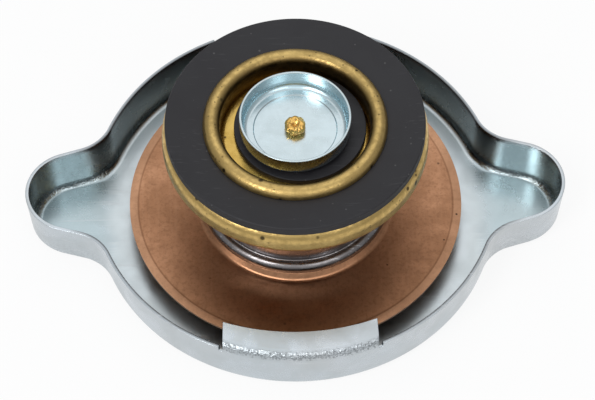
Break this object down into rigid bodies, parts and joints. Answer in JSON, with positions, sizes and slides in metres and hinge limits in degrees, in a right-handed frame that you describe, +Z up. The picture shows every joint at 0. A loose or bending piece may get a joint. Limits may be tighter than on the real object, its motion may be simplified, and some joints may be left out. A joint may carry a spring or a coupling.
{
  "type": "radiator cap",
  "caption": "Eared pressure cap for a radiator filler neck, lying valve side up: plated shell, copper diaphragm, sprung brass pressure valve with rubber seal, small vacuum valve.",
  "frame": {"origin": "on the cap's axis, in the plane of its outer face, on which it lies", "axes": "+X along the two ears, +Z up the axis from the outer face to the valves"},
  "size_m": [0.088, 0.0662, 0.0279],
  "materials": {
    "shell_plating": "bright zinc plating on pressed sheet",
    "diaphragm_copper": "bare rolled copper, handled",
    "rivet_steel": "zinc plated",
    "bell_steel": "bare drawn steel",
    "spring_steel": "plated spring wire",
    "dish_brass": "dull pressed brass, mottled and pitted",
    "seal_rubber": "matte moulded rubber",
    "seat_brass": "clean pressed brass",
    "cup_plating": "bright zinc plating",
    "stem_brass": "bright peened brass"
  },
  "bodies": {
    "shell": {"cap_shell": "shell_plating", "centre_rivet": "rivet_steel"},
    "bell": {"diaphragm_disc": "diaphragm_copper", "bell_housing": "bell_steel", "pressure_spring": "spring_steel"},
    "pressure_valve": {"seal_dish": "dish_brass", "pressure_seal": "seal_rubber", "vacuum_seat": "seat_brass", "vacuum_spring": "spring_steel"},
    "vacuum_valve": {"vacuum_seal": "seal_rubber", "vacuum_cup": "cup_plating", "vacuum_stem": "stem_brass", "stem_keeper": "seat_brass"}
  },
  "joints": [
    {"name": "bell_swivel", "type": "hinge", "parent": "shell", "child": "bell", "pos_m": [0, 0, 0.0057], "axis": [0, 0, 1], "continuous": true},
    {"name": "pressure_valve_slide", "type": "slide", "parent": "bell", "child": "pressure_valve", "axis": [0, 0, -1], "range_m": [0, 0.0032], "stiffness_N_per_m": 8000, "springref_m": -0.0004, "deforming": ["pressure_spring"]},
    {"name": "vacuum_valve_slide", "type": "slide", "parent": "pressure_valve", "child": "vacuum_valve", "axis": [0, 0, 1], "range_m": [0, 0.0025], "stiffness_N_per_m": 120, "springref_m": -0.002, "deforming": ["vacuum_spring"]}
  ]
}
